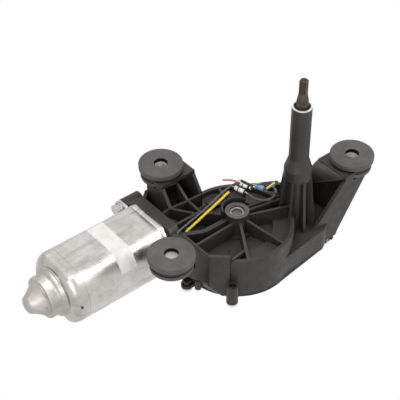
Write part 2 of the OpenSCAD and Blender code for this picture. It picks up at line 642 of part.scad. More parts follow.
module gear_housing() color(housing_col) difference() {
    union() {
        difference() {
            union() {
                chamber_outside();
                translate([0, 0, roof_in - 0.4]) linear_extrude(3) polygon(box_plan);
            }
            bays();
        }
        worm_tunnel();
        motor_flange();
        box_ribs();
        boss_ribs();
        tower();
        boss();
        ear_a_riser();
        arm_b();
        arm_c();
        cover_screw_bosses();
        boss_links();
        connector_wall();
    }
    chamber_inside();
    // Holes for the grommets, and room for their lower flanges and for the screws
    for (e = ears) translate([e.x, e.y, 0]) {
        translate([0, 0, plate_z0 - 1]) cylinder(r = groove_r, h = ear_t + 2);
        translate([0, 0, plate_z0 - grommet_low - 0.7]) cylinder(r = grommet_d / 2 - 0.5, h = grommet_low + 0.7);
    }
    for (e = [[ear_b, 7.6], [ear_c, 4.4]]) translate([e[0].x, e[0].y, 10]) cylinder(r = e[1], h = plate_z0 - 11);
    // Bore of the boss and the seat of its washer and ring
    rotate_extrude() polygon([[0, 9], [axle_r + fit, 9], [axle_r + fit, ring_seat_z], [5.1, ring_seat_z],
                              [5.1, boss_z + 1], [0, boss_z + 1]]);
    // Bores of the tower: bush seats at both ends, clear between them
    translate([spindle.x, spindle.y, 0]) rotate_extrude() polygon([
        [0, 9], [bush_low_r, 9], [bush_low_r, bush_low_z1], [spindle_d / 2 + 0.6, bush_low_z1],
        [spindle_d / 2 + 0.6, bush_top_z0], [bush_top_r, bush_top_z0], [bush_top_r, tower_z + 1], [0, tower_z + 1]
    ]);
    // Bearing seat, worm tunnel and the seat of the bush at its end
    on_motor(0) rotate_extrude() polygon([
        [0, mouth_x], [9.6, mouth_x], [9.6, flange_x + 7], [6.6, flange_x + 7], [6.6, end_bush_x],
        [4.6, end_bush_x], [4.6, end_bush_x + end_bush_len + 2.6], [0, end_bush_x + end_bush_len + 2.6]
    ]);
    for (s = motor_screw_at) translate([mouth_x, s[0], s[1]]) rotate([0, 90, 0]) cylinder(r = 2.5, h = 7.4);
    cover_screw_holes();
}

// Cover under the chamber and the box, with ears for its screws and a raised flat pan

module cover_plan(inset = 0) {
    hugged(chamber_plan, inset);
    offset_box(inset);
    for (i = [0:len(cover_screw_at) - 1])
        hugged([[cover_screw_at[i], boss_screw_r], [cover_lug_to[i], boss_screw_r]]);
}

// The box's plan drawn in as its corners, each moved towards the middle by the inset
module offset_box(inset) polygon([
    [-39 + inset, -3], [-33, -10], [0, -20], [0, 34], [-3 - inset, 34],
    [-3 - inset, 57 - inset], [-31 + inset * 0.5, 57 - inset], [-36.7 + inset, 52.2 - inset * 0.7],
    [-36.7 + inset, 7 - inset], [-39 + inset, 7 - inset]
]);

pan_plan = [[[0, 0], 33], [[48, -24], 5], [[56, -19], 5], [[56, 0], 5]];
module bottom_cover() color([0.13, 0.13, 0.13]) difference() {
    union() {
        translate([0, 0, flange_z]) linear_extrude(cover_t) cover_plan();
        translate([0, 0, cover_face]) linear_extrude(flange_z + 0.5) hugged(pan_plan);
        for (p = cover_screw_at) translate([p.x, p.y, flange_z - 0.6]) cylinder(r = boss_screw_r - 0.5, h = 1);
    }
    translate([0, 0, cover_face + cover_t]) linear_extrude(4) hugged(pan_plan, 2);
    for (p = cover_screw_at) translate([p.x, p.y, -1]) cylinder(r = screw_r + 0.2, h = 8);
}

module cover_gasket() color(dark_col) translate([0, 0, flange_z + cover_t]) linear_extrude(gasket_t)
    difference() {
        cover_plan();
        hugged(chamber_plan, wall);
        offset_box(2.4);
        for (p = cover_screw_at) translate(p) circle(r = screw_r + 0.2);
    }

module cover_screws() color(steel_col) for (i = [0:len(cover_screw_at) - 1]) translate(cover_screw_at[i]) {
    translate([0, 0, 0.2]) cylinder(r1 = 2.9, r2 = 3.75, h = 0.8);
    translate([0, 0, 1]) cylinder(r = 3.75, h = flange_z - 1.6);
    translate([0, 0, 1]) cylinder(r = screw_r - fit, h = i == 1 ? 6.8 : 11.5);
}

// Gear train and linkage

axle_r = 3.5;
ring_seat_z = boss_z - 2.2;

// Outline of the wheel: straight-sided teeth, thinned for running clearance
function wheel_point(k, part) =
    let (pitch = 360 / wheel_teeth, base = 90 + (k + 0.5) * pitch,
         offs = [-0.27, -0.13, 0.13, 0.27], rad = [-1.2, 1, 1, -1.2],
         r = pitch_r + gear_module * rad[part], a = base + offs[part] * pitch)
    r * [cos(a), sin(a)];

module worm_wheel() color([0.86, 0.84, 0.78]) difference() {
    union() {
        translate([0, 0, wheel_z0]) linear_extrude(wheel_w)
            polygon([for (k = [0:wheel_teeth - 1]) for (i = [0:3]) wheel_point(k, i)]);
        translate([0, 0, wheel_z1 - 1]) cylinder(r = 8, h = 1.5);
    }
    // Web between rim and hub, with round openings
    translate([0, 0, wheel_z1 - 2.4]) difference() {
        cylinder(r = 27.5, h = 4);
        translate([0, 0, -1]) cylinder(r = 9, h = 6);
    }
    for (k = [0:5]) rotate([0, 0, 60 * k + 30 + dead_line]) translate([18, 0, wheel_z0 - 1])
        cylinder(r = 4, h = wheel_w + 2);
    cylinder(r = axle_r, h = boss_z);
    translate([crank_at.x, crank_at.y, wheel_z0 - 1]) cylinder(r = 3, h = 5);
}

module wheel_axle() color(steel_col) {
    translate([0, 0, wheel_z0 - 1.4]) cylinder(r = 5.5, h = 1.4);
    translate([0, 0, wheel_z0 - 0.5]) cylinder(r = axle_r, h = ring_seat_z + 1.2 - wheel_z0 + 0.5);
}

module axle_washer() color(steel_col) tube(4.9, axle_r + 0.15, ring_seat_z, ring_seat_z + 0.4);

module axle_ring() color([0.8, 0.8, 0.8]) difference() {
    tube(4.8, axle_r, ring_seat_z + 0.5, ring_seat_z + 1.3);
    translate([0, -0.6, ring_seat_z]) cube([6, 1.2, 2]);
}

module crank_pin() color(steel_col) translate([crank_at.x, crank_at.y, 0]) {
    translate([0, 0, rod_z - 1.2]) cylinder(r = 4.2, h = 0.9);
    translate([0, 0, rod_z - 0.6]) cylinder(r = 3, h = wheel_z0 + 4 - rod_z + 0.6);
    translate([0, 0, rod_z + rod_t + gap]) cylinder(r = 4.6, h = wheel_z0 - rod_z - rod_t - gap);
}

module connecting_rod() color([0.6, 0.6, 0.62]) difference() {
    translate([0, 0, rod_z]) linear_extrude(rod_t) hugged([[crank_at, 5], [rocker_at, 4.2]]);
    translate([crank_at.x, crank_at.y, 0]) cylinder(r = 3 + fit, h = 20);
    translate([rocker_at.x, rocker_at.y, 0]) cylinder(r = 2.7, h = 20);
}

// Lever on the spindle's foot; its pin ends just short of the connecting rod
module rocker_lever() color([0.6, 0.6, 0.62]) difference() {
    union() {
        translate([0, 0, rocker_z]) linear_extrude(rocker_t) hugged([[spindle, 7.4], [rocker_at, 4.8]]);
        translate([rocker_at.x, rocker_at.y, rocker_z + 1]) cylinder(r = 2.5, h = rod_z - rocker_z - 1 - gap);
        translate([spindle.x, spindle.y, rocker_z + 1]) cylinder(r = 6.6, h = rod_z - rocker_z - 1 - gap);
    }
    translate([spindle.x, spindle.y, 0]) cylinder(r = spindle_d / 2, h = 20);
}

bush_low_r = 5.9;
bush_low_z1 = 34;
bush_top_r = 5.7;
bush_top_z0 = 94;
bush_top_z1 = tower_z - 2.6;

module output_spindle() color([0.33, 0.3, 0.28]) translate([spindle.x, spindle.y, 0]) rotate_extrude() polygon([
    [0, rocker_z - 0.6], [4, rocker_z - 0.6], [spindle_d / 2, rocker_z - 0.1], [spindle_d / 2, tower_z - 1.6],
    [3.9, tower_z - 1], [3.75, tower_z + 5.5], [2.9, tip_z - thread_len - 0.8], [2.6, tip_z - thread_len - 0.6],
    [2.6, tip_z - thread_len - 0.1], [3, tip_z - thread_len + 0.3], [3, tip_z - 0.8], [2.2, tip_z], [0, tip_z]
]);

module lower_spindle_bush() color([0.62, 0.5, 0.3]) translate([spindle.x, spindle.y, 0])
    tube(bush_low_r, spindle_d / 2 + fit, low_ceiling, bush_low_z1);

module upper_spindle_bush() color([0.62, 0.5, 0.3]) translate([spindle.x, spindle.y, 0])
    tube(bush_top_r, spindle_d / 2 + fit, bush_top_z0, bush_top_z1);

module spindle_seal() color(dark_col) translate([spindle.x, spindle.y, 0])
    tube(bush_top_r, spindle_d / 2 + fit, bush_top_z1, tower_z - 0.6);

module spindle_washer() color([0.85, 0.85, 0.85]) translate([spindle.x, spindle.y, 0])
    tube(tower_d / 2 - 0.1, 5.5, tower_z, tower_z + 0.7);

module spindle_circlip() color(steel_col) translate([spindle.x, spindle.y, 0]) difference() {
    tube(6.2, spindle_d / 2, low_ceiling - 1.2, low_ceiling - 0.2);
    translate([-1, -8, low_ceiling - 2]) cube([2, 8, 3]);
}

// Rubber and sleeves

module grommet_profile() {
    r = grommet_d / 2;
    polygon([
        [5, plate_z0 - grommet_low], [r - 1.8, plate_z0 - grommet_low], [r - 1.2, plate_z0 - grommet_low + 0.6],
        [r - 1.2, plate_z0], [groove_r, plate_z0], [groove_r, plate_z1], [r - 3, plate_z1],
        [r - 0.6, plate_z1 + 1], [r, plate_z1 + 1.6], [r, ear_z - 0.9], [r - 0.9, ear_z],
        [4.5, ear_z], [4.5, ear_z - 3], [5, ear_z - 3]
    ]);
}

module grommets() color(rubber_col) for (e = ears) translate([e.x, e.y, 0]) rotate_extrude() grommet_profile();

module grommet_sleeves() color(steel_col) for (e = ears) translate([e.x, e.y, 0])
    tube(5, sleeve_r, plate_z0 - grommet_low - 0.4, ear_z - 3);

// Park switch under the wheel: a slotted disc that turns with it and three leaf contacts

module park_disc() color([0.8, 0.55, 0.3]) difference() {
    tube(29, 22.6, wheel_z0 - 0.5, wheel_z0);
    rotate([0, 0, 200]) translate([24, -4, wheel_z0 - 1]) cube([10, 8, 2]);
}

module park_contacts() color([0.8, 0.6, 0.35]) for (k = [0:2])
    rotate([0, 0, 168 + 12 * k]) {
        translate([25 - 0.4, -0.9, cover_face + cover_t]) cube([0.8, 1.8, 9.4]);
        seen_along_y([[25 - 0.4, 11], [25.4, 11], [27, wheel_z0 - 0.9], [26.2, wheel_z0 - 0.8]], -0.9, 0.9);
    }

// Suppression parts on top

module suppressor_holder() color(dark_col) {
    difference() {
        translate([0, 0, rib_z]) cylinder(r = 10.6, h = floor_z + 19 - rib_z);
        translate([0, 0, floor_z - 1]) cylinder(r = 9.2, h = 30);
        translate([-20, -20, floor_z - 1]) cube([40, 23, 30]);
    }
    rib([6.2, 8.2], [13.5, 10.6], floor_z + 14, floor_z + 19, t = 6);
    rib([3.4, 9.6], [5.6, 16.4], floor_z + 14, floor_z + 19, t = 4);
}

choke_r = 2.2;
choke_z = floor_z + 19 + choke_r;
chokes_at = [[[9.2, 15], [11.8, 8]], [[15.4, 16], [16.4, 8]]];
module chokes() color(dark_col) for (c = chokes_at)
    translate([c[0].x, c[0].y, choke_z]) rotate([0, 0, atan2(c[1].y - c[0].y, c[1].x - c[0].x)])
        rotate([0, 90, 0]) rotate_extrude() polygon([[0, 0], [1.5, 0], [2.2, 0.6], [2.2, norm(c[1] - c[0]) - 0.6],
                                                     [1.5, norm(c[1] - c[0])], [0, norm(c[1] - c[0])]]);

module capacitor() color([0.35, 0.5, 0.7]) translate([24.8, 11.6, 43.8]) rotate([0, 0, -65.4]) rotate([0, 90, 0])
    cylinder(r = 1.9, h = 7.7);

wire_r = 0.7;
sleeve_wire_r = 1;
module yellow_sleeve() color([0.9, 0.75, 0.1]) swept(yellow_route, sleeve_wire_r);
module grey_wire() color([0.3, 0.3, 0.3]) swept(grey_route, wire_r);
module red_wire() color([0.85, 0.3, 0.2]) swept(red_route, wire_r);
module black_wire() color([0.3, 0.3, 0.3]) swept(black_route, wire_r + 0.1);
module green_wire() color([0.7, 0.8, 0.2]) swept(green_route, wire_r - 0.2);
module pale_sleeve() color([0.8, 0.8, 0.5]) swept(pale_route, wire_r + 0.2);

// Connector on the back wall

module connector_shell() color(dark_col) connector_frame() difference() {
    translate([-10, 0, 5.4]) cube([20, 15, 13]);
    translate([-8.2, 3, 7.2]) cube([16.4, 13, 9.4]);
}

module connector_pins() color([0.8, 0.7, 0.4]) connector_frame() for (k = [-1.5:1:1.5])
    translate([4 * k - 0.4, 3, 13]) cube([0.8, 8.9, 1.6]);

motor_can();
magnets();
magnet_springs();
armature_core();
armature_windings();
commutator();
worm_shaft();
rear_bearing();
front_bearing();
end_bush();
thrust_pad();
brush_holder();
brushes();
brush_springs();
can_gasket();
motor_screws();
gear_housing();
bottom_cover();
cover_gasket();
cover_screws();
worm_wheel();
wheel_axle();
axle_washer();
axle_ring();
crank_pin();
connecting_rod();
rocker_lever();
output_spindle();
lower_spindle_bush();
upper_spindle_bush();
spindle_seal();
spindle_washer();
spindle_circlip();
grommets();
grommet_sleeves();
park_disc();
park_contacts();
suppressor_holder();
chokes();
capacitor();
yellow_sleeve();
grey_wire();
red_wire();
black_wire();
green_wire();
pale_sleeve();
connector_shell();
connector_pins();
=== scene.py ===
import json
import math

import bmesh
import bpy
import numpy as np
from mathutils import Matrix, Vector


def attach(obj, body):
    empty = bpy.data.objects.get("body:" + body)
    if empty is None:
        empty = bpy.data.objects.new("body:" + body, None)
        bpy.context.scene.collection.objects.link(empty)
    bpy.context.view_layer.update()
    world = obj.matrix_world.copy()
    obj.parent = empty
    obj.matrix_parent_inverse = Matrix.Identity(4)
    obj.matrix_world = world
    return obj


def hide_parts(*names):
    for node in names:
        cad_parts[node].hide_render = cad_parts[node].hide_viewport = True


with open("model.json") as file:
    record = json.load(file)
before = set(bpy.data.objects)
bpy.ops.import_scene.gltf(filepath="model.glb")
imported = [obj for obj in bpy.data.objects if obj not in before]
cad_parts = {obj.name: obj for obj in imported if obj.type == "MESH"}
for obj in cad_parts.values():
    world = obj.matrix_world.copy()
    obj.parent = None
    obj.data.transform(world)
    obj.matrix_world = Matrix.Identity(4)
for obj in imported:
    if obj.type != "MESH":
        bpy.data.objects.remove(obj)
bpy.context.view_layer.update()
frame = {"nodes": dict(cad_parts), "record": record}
nodes = frame["nodes"]
MM = 0.001
BODY = {n: b for b, ns in frame["record"]["behaviour"]["bodies"].items() for n in ns}


# Camera, at the photograph's viewing angle

EYE = Vector((-0.378901, -0.423208, 0.553391))
LENS = 105.12
AZIMUTH, ELEVATION, ROLL = (math.radians(a) for a in (-39.4, 41.4, -0.1))
BACK = Vector((math.sin(AZIMUTH) * math.cos(ELEVATION), -math.cos(AZIMUTH) * math.cos(ELEVATION),
               math.sin(ELEVATION)))
level = Vector((math.cos(AZIMUTH), math.sin(AZIMUTH), 0))
RIGHT = math.cos(ROLL) * level + math.sin(ROLL) * BACK.cross(level)
UP = BACK.cross(RIGHT)
cam_data = bpy.data.cameras.new("camera")
cam_data.sensor_width = 36
cam_data.lens = LENS
cam_data.clip_end = 20
cam = bpy.data.objects.new("camera", cam_data)
turn = Matrix((RIGHT, UP, BACK)).transposed().to_4x4()
cam.matrix_world = Matrix.Translation(EYE) @ turn
bpy.context.scene.collection.objects.link(cam)
bpy.context.scene.camera = cam


# Studio

view = bpy.context.scene.view_settings
view.view_transform = "Standard"


def link(obj):
    bpy.context.scene.collection.objects.link(obj)
    return obj


def new_mesh(name, verts, faces, smooth=True):
    mesh = bpy.data.meshes.new(name)
    mesh.from_pydata([tuple(v) for v in verts], [], faces)
    mesh.validate()
    for p in mesh.polygons:
        p.use_smooth = smooth
    return link(bpy.data.objects.new(name, mesh))


def seen_white(material):
    """Shows the surface as even white to the camera and in reflections, and keeps shadows on it."""
    tree = material.node_tree
    tree.nodes.clear()
    out = tree.nodes.new("ShaderNodeOutputMaterial")
    mix = tree.nodes.new("ShaderNodeMixShader")
    path = tree.nodes.new("ShaderNodeLightPath")
    glow = tree.nodes.new("ShaderNodeEmission")
    glow.inputs["Strength"].default_value = 1.0
    plain = tree.nodes.new("ShaderNodeBsdfDiffuse")
    plain.inputs["Color"].default_value = (0.8, 0.8, 0.8, 1)
    most = tree.nodes.new("ShaderNodeMath")
    most.operation = "MAXIMUM"
    tree.links.new(path.outputs["Is Camera Ray"], most.inputs[0])
    tree.links.new(path.outputs["Is Glossy Ray"], most.inputs[1])
    tree.links.new(most.outputs[0], mix.inputs[0])
    tree.links.new(plain.outputs[0], mix.inputs[1])
    tree.links.new(glow.outputs[0], mix.inputs[2])
    tree.links.new(mix.outputs[0], out.inputs[0])


floor_mat = bpy.data.materials.new("floor")
floor_mat.use_nodes = True
seen_white(floor_mat)
FLOOR_HALF, FLOOR_Z = 3, -0.0004
corners = [(sx * FLOOR_HALF, sy * FLOOR_HALF, FLOOR_Z) for sx, sy in ((-1, -1), (1, -1), (1, 1), (-1, 1))]
floor = new_mesh("floor", corners, [(0, 1, 2, 3)])
floor.data.materials.append(floor_mat)

world = bpy.data.worlds.new("studio")
bpy.context.scene.world = world
world.use_nodes = True
wt = world.node_tree
wt.nodes.clear()
w_out = wt.nodes.new("ShaderNodeOutputWorld")
w_mix = wt.nodes.new("ShaderNodeMixShader")
w_path = wt.nodes.new("ShaderNodeLightPath")
w_light = wt.nodes.new("ShaderNodeBackground")
w_light.inputs["Color"].default_value = (1, 1, 1, 1)
w_light.inputs["Strength"].default_value = 0.42
w_seen = wt.nodes.new("ShaderNodeBackground")
w_seen.inputs["Color"].default_value = (1, 1, 1, 1)
w_seen.inputs["Strength"].default_value = 1.0
w_seen_by = wt.nodes.new("ShaderNodeMath")
w_seen_by.operation = "MAXIMUM"
w_also = wt.nodes.new("ShaderNodeMath")
w_also.operation = "MAXIMUM"
wt.links.new(w_path.outputs["Is Camera Ray"], w_also.inputs[0])
wt.links.new(w_path.outputs["Is Glossy Ray"], w_also.inputs[1])
wt.links.new(w_also.outputs[0], w_seen_by.inputs[0])
wt.links.new(w_path.outputs["Is Transmission Ray"], w_seen_by.inputs[1])
wt.links.new(w_seen_by.outputs[0], w_mix.inputs[0])
wt.links.new(w_light.outputs[0], w_mix.inputs[1])
wt.links.new(w_seen.outputs[0], w_mix.inputs[2])
wt.links.new(w_mix.outputs[0], w_out.inputs[0])


def lamp(name, at, towards, size, power):
    data = bpy.data.lights.new(name, "AREA")
    data.shape = "SQUARE"
    data.size = size
    data.energy = power
    obj = link(bpy.data.objects.new(name, data))
    obj.location = at
    obj.rotation_euler = (Vector(towards) - Vector(at)).to_track_quat("-Z", "Y").to_euler()


AIM = (0, 0, 0.03)
lamp("key", (0.75, -0.8, 0.95), AIM, 0.6, 8.5)
lamp("fill", (-0.95, -0.75, 0.6), AIM, 0.7, 5)
lamp("top", (-0.25, 0.1, 1.25), AIM, 0.8, 9.5)


# Materials


class Mat:
    """A Principled material with a few node shortcuts; coordinates are the object's own, in metres."""

    def __init__(self, name, color, rough=0.5, metal=0.0, **sockets):
        self.m = bpy.data.materials.new(name)
        self.m.use_nodes = True
        self.t = self.m.node_tree
        self.p = self.t.nodes["Principled BSDF"]
        self.p.inputs["Base Color"].default_value = (*color, 1)
        self.p.inputs["Roughness"].default_value = rough
        self.p.inputs["Metallic"].default_value = metal
        for k, v in sockets.items():
            self.p.inputs[k.replace("_", " ")].default_value = v
        self.coord = self.t.nodes.new("ShaderNodeTexCoord")
        self.bump_in = None

    def noise(self, scale, detail=3.0, rough=0.55, stretch=None, offset=(0, 0, 0)):
        n = self.t.nodes.new("ShaderNodeTexNoise")
        n.inputs["Scale"].default_value = scale
        n.inputs["Detail"].default_value = detail
        n.inputs["Roughness"].default_value = rough
        place = self.t.nodes.new("ShaderNodeMapping")
        place.inputs["Location"].default_value = offset
        if stretch:
            place.inputs["Scale"].default_value = stretch
        self.t.links.new(self.coord.outputs["Object"], place.inputs["Vector"])
        self.t.links.new(place.outputs[0], n.inputs["Vector"])
        return n.outputs["Fac"]

    def ramp(self, fac, stops):
        r = self.t.nodes.new("ShaderNodeValToRGB")
        while len(r.color_ramp.elements) < len(stops):
            r.color_ramp.elements.new(0.5)
        for e, (at, c) in zip(r.color_ramp.elements, stops):
            e.position = at
            e.color = (*c, 1)
        self.t.links.new(fac, r.inputs[0])
        return r.outputs[0]

    def grey(self, fac, lo, hi, at0=0.3, at1=0.7):
        return self.ramp(fac, [(at0, (lo, lo, lo)), (at1, (hi, hi, hi))])

    def mix(self, fac, a, b):
        """Mixes two colours, each a plain one or a node's output."""
        m = self.t.nodes.new("ShaderNodeMix")
        m.data_type = "RGBA"
        self.t.links.new(fac, m.inputs[0])
        for socket, value in ((m.inputs[6], a), (m.inputs[7], b)):
            if isinstance(value, tuple):
                socket.default_value = (*value, 1)
            else:
                self.t.links.new(value, socket)
        return m.outputs[2]

    def ring(self, at, radius, width):
        """Is 1 on a thin ring about a point, in mm, and 0 elsewhere."""
        far = self.t.nodes.new("ShaderNodeVectorMath")
        far.operation = "DISTANCE"
        far.inputs[1].default_value = tuple(v * MM for v in at)
        self.t.links.new(self.coord.outputs["Object"], far.inputs[0])
        out = far.outputs["Value"]
        for operation, value in (("SUBTRACT", radius * MM), ("ABSOLUTE", 0), ("LESS_THAN", width * MM)):
            step = self.t.nodes.new("ShaderNodeMath")
            step.operation = operation
            step.inputs[1].default_value = value
            self.t.links.new(out, step.inputs[0])
            out = step.outputs[0]
        return out

    def along(self, axis, a0, a1):
        """Rises from 0 to 1 between two stations along X (0), Y (1) or Z (2), in mm."""
        axes = self.t.nodes.new("ShaderNodeSeparateXYZ")
        self.t.links.new(self.coord.outputs["Object"], axes.inputs[0])
        rise = self.t.nodes.new("ShaderNodeMapRange")
        rise.inputs["From Min"].default_value = a0 * MM
        rise.inputs["From Max"].default_value = a1 * MM
        self.t.links.new(axes.outputs[axis], rise.inputs["Value"])
        return rise.outputs[0]

    def mul(self, a, b):
        m = self.t.nodes.new("ShaderNodeMath")
        m.operation = "MULTIPLY"
        self.t.links.new(a, m.inputs[0])
        self.t.links.new(b, m.inputs[1])
        return m.outputs[0]

    def use(self, socket, value):
        self.t.links.new(value, self.p.inputs[socket])

    def bump(self, height, strength=0.3, distance=0.0002):
        b = self.t.nodes.new("ShaderNodeBump")
        b.inputs["Strength"].default_value = strength
        b.inputs["Distance"].default_value = distance
        self.t.links.new(height, b.inputs["Height"])
        if self.bump_in is not None:
            self.t.links.new(self.bump_in, b.inputs["Normal"])
        self.bump_in = b.outputs[0]
        self.t.links.new(self.bump_in, self.p.inputs["Normal"])


def tint(c, k):
    return tuple(min(1.0, v * k) for v in c)


def moulded(name, color, rough=0.5, speckle=0.25, grain=0.25, rubbed=None):
    """Glass-filled moulded plastic: faint speckle, flow variation, a fine grain and a spot rubbed lighter."""
    m = Mat(name, color, rough)
    big = m.noise(60, 4, 0.6)
    flow = m.ramp(big, [(0.35, tint(color, 1 - speckle * 0.5)), (0.65, tint(color, 1 + speckle))])
    fine = m.noise(2600, 2, 0.6)
    fleck = m.grey(fine, 0, 1, 0.62, 0.75)
    shade = m.mix(fleck, flow, tint(color, 1.5))
    if rubbed:
        at, reach = rubbed
        shade = m.mix(m.grey(m.ring(at, 0, reach), 0, 1, 0, 1), shade, (0.075, 0.072, 0.07))
    m.use("Base Color", shade)
    m.use("Roughness", m.grey(m.noise(180, 3), rough - 0.07, rough + 0.1))
    m.bump(m.noise(1700, 3, 0.6), grain, 0.00008)
    m.bump(m.noise(140, 2, 0.5), 0.12, 0.0003)
    return m.m


def rubbery(name, color, rough=0.62, dust=(0.2, 0.19, 0.18)):
    m = Mat(name, color, rough)
    cloud = m.noise(90, 5, 0.65)
    m.use("Base Color", m.mix(m.grey(cloud, 0.1, 0.75, 0.35, 0.7), color, dust))
    m.use("Roughness", m.grey(m.noise(300, 3), rough - 0.08, rough + 0.12))
    m.bump(m.noise(2200, 3, 0.65), 0.3, 0.00007)
    return m.m


def steel(name, color, rough=0.3, brushed=None, stain=0.12, stain_color=(0.5, 0.44, 0.36), metal=1.0):
    m = Mat(name, color, rough, metal)
    smear = m.noise(70, 5, 0.65)
    m.use("Base Color", m.mix(m.grey(smear, 0, stain, 0.45, 0.8), color, stain_color))
    m.use("Roughness", m.grey(m.noise(240, 3), rough - 0.06, rough + 0.12))
    if brushed:
        m.bump(m.noise(1, 3, 0.7, brushed), 0.2, 0.00005)
    else:
        m.bump(m.noise(1500, 2), 0.1, 0.00004)
    return m.m


MATS = {
    "housing_plastic": moulded("housing_plastic", (0.018, 0.0165, 0.0152), 0.5, rubbed=((0, 0, 48), 9)),
    "cover_plastic": moulded("cover_plastic", (0.006, 0.006, 0.006), 0.65),
    "holder_plastic": moulded("holder_plastic", (0.008, 0.008, 0.008), 0.45, 0.1),
    "brown_plastic": moulded("brown_plastic", (0.1, 0.045, 0.02), 0.5),
    "natural_nylon": moulded("natural_nylon", (0.72, 0.69, 0.6), 0.4, 0.05),
    "black_rubber": rubbery("black_rubber", (0.012, 0.012, 0.012), 0.6, (0.03, 0.03, 0.03)),
    "grommet_rubber": rubbery("grommet_rubber", (0.052, 0.05, 0.049), 0.62, (0.1, 0.095, 0.092)),
    "steel": steel("steel", (0.5, 0.49, 0.48), 0.3, None, 0.4, (0.3, 0.27, 0.23)),
    "bright_steel": steel("bright_steel", (0.8, 0.8, 0.8), 0.3, None, 0.05, metal=0.7),
    "core_steel": steel("core_steel", (0.36, 0.36, 0.37), 0.4, (2500, 40, 40)),
    "lever_steel": steel("lever_steel", (0.36, 0.345, 0.34), 0.42, None, 0.5, (0.24, 0.2, 0.18)),
    "copper": steel("copper", (0.78, 0.42, 0.26), 0.3, None, 0.3, (0.4, 0.18, 0.1)),
    "bronze": steel("bronze", (0.55, 0.42, 0.24), 0.45, None, 0.3, (0.35, 0.25, 0.14)),
    "ferrite": moulded("ferrite", (0.045, 0.045, 0.05), 0.6),
}


def glossy(name, color, rough=0.32):
    m = Mat(name, color, rough)
    m.use("Base Color", m.mix(m.grey(m.noise(400, 3), 0, 0.5), color, tint(color, 0.72)))
    m.bump(m.noise(900, 2), 0.12, 0.00005)
    return m.m


MATS.update(
    blue_coat=glossy("blue_coat", (0.17, 0.36, 0.72), 0.22),
    yellow_plastic=glossy("yellow_plastic", (0.68, 0.48, 0.03)),
    grey_plastic=glossy("grey_plastic", (0.06, 0.06, 0.058)),
    red_plastic=glossy("red_plastic", (0.5, 0.13, 0.08)),
    green_plastic=glossy("green_plastic", (0.62, 0.66, 0.08)),
    pale_plastic=glossy("pale_plastic", (0.66, 0.62, 0.3)),
)


def spindle_metal():
    """Brown-black spindle steel, darker and oily on the thread."""
    m = Mat("spindle_steel", (0.1, 0.08, 0.07), 0.45, 1.0)
    smear = m.grey(m.noise(70, 5, 0.65), 0, 0.6, 0.45, 0.8)
    color = m.mix(smear, (0.1, 0.08, 0.07), (0.17, 0.11, 0.07))
    m.use("Base Color", m.mix(m.grey(m.along(2, 126, 127), 0, 0.6, 0, 1), color, (0.03, 0.022, 0.018)))
    m.use("Roughness", m.grey(m.noise(240, 3), 0.39, 0.57))
    m.bump(m.noise(1500, 2), 0.1, 0.00004)
    return m.m


MATS["spindle_steel"] = spindle_metal()


def zinc():
    """Zinc-coated steel: a satin grey with a fine draw grain along the can, smudges and a warm film."""
    base = (0.58, 0.572, 0.552)
    m = Mat("zinc", base, 0.4, 1.0)
    smudge = m.noise(48, 9, 0.74, (1, 1, 1), (0.3, 0.1, 0))
    color = m.mix(m.grey(smudge, 0, 0.6, 0.46, 0.68), base, (0.44, 0.41, 0.35))
    wiped = m.noise(1, 6, 0.72, (30, 210, 210), (0.2, 0.7, 0.1))
    color = m.mix(m.grey(wiped, 0, 0.7, 0.48, 0.7), color, (0.29, 0.28, 0.255))
    clean = m.noise(75, 8, 0.76, (1, 1, 1), (1.3, 0.4, 0.6))
    color = m.mix(m.grey(clean, 0, 0.6, 0.48, 0.64), color, (0.68, 0.675, 0.66))
    spot = m.grey(m.noise(620, 4, 0.75), 0, 0.5, 0.56, 0.76)
    color = m.mix(spot, color, (0.26, 0.25, 0.23))
    # Mottled, warmer and darker towards the can's closed end
    end_darkening = m.grey(m.along(0, -127, -110), 0.75, 0, 0.45, 1)
    color = m.mix(m.mul(end_darkening, m.grey(m.noise(110, 5, 0.7), 0.3, 1, 0.35, 0.6)), color, (0.36, 0.33, 0.29))
    line = m.ramp(m.along(0, -118, -104), [(0.44, (0, 0, 0)), (0.47, (0.7, 0.7, 0.7)), (0.5, (0, 0, 0))])
    color = m.mix(line, color, (0.33, 0.31, 0.28))
    scuff = m.grey(m.ring((-65.9, 34.1, 41.0), 5.2, 0.22), 0, 0.3, 0, 1)
    m.use("Base Color", m.mix(scuff, color, (0.24, 0.23, 0.21)))
    # The nose, past the can's closed end, is duller than the can
    can_rough = m.grey(m.noise(70, 6, 0.68), 0.22, 0.46, 0.32, 0.7)
    m.use("Roughness", m.mix(m.along(0, -123.5, -122.5), (0.48, 0.48, 0.48), can_rough))
    m.bump(m.noise(1, 4, 0.7, (50, 1500, 1500)), 0.16, 0.00005)
    m.bump(m.noise(160, 5, 0.6), 0.16, 0.0002)
    m.bump(m.noise(900, 4, 0.7), 0.2, 0.00005)
    return m.m


MATS["zinc"] = zinc()
MATS["axle_steel"] = steel("axle_steel", (0.13, 0.112, 0.112), 0.5, None, 0.5, (0.07, 0.06, 0.06))
# Near-black, barely reflective look for the sleeve in each grommet's bore: painted shade in the hole
MATS["bore_painted_shade"] = Mat("bore_painted_shade", (0.006, 0.006, 0.006), 0.9, Specular_IOR_Level=0.1).m
MATS["white_sleeve"] = glossy("white_sleeve", (0.72, 0.71, 0.69), 0.4)


def label_film():
    """Bare label: off-white film with faint creases and a greyer, worn edge to its colour."""
    m = Mat("label_film", (0.7, 0.69, 0.66), 0.36)
    worn = m.grey(m.noise(120, 6, 0.7), 0, 0.55, 0.45, 0.7)
    m.use("Base Color", m.mix(worn, (0.7, 0.695, 0.67), (0.5, 0.485, 0.45)))
    m.use("Roughness", m.grey(m.noise(200, 4), 0.28, 0.46))
    m.bump(m.noise(1, 4, 0.6, (220, 60, 60)), 0.25, 0.00012)
    return m.m


MATS["label_film"] = label_film()


# Every CAD node takes its material from its slot

slot_of = {s["node"]: s["material_slot"] for s in frame["record"]["subparts"]}


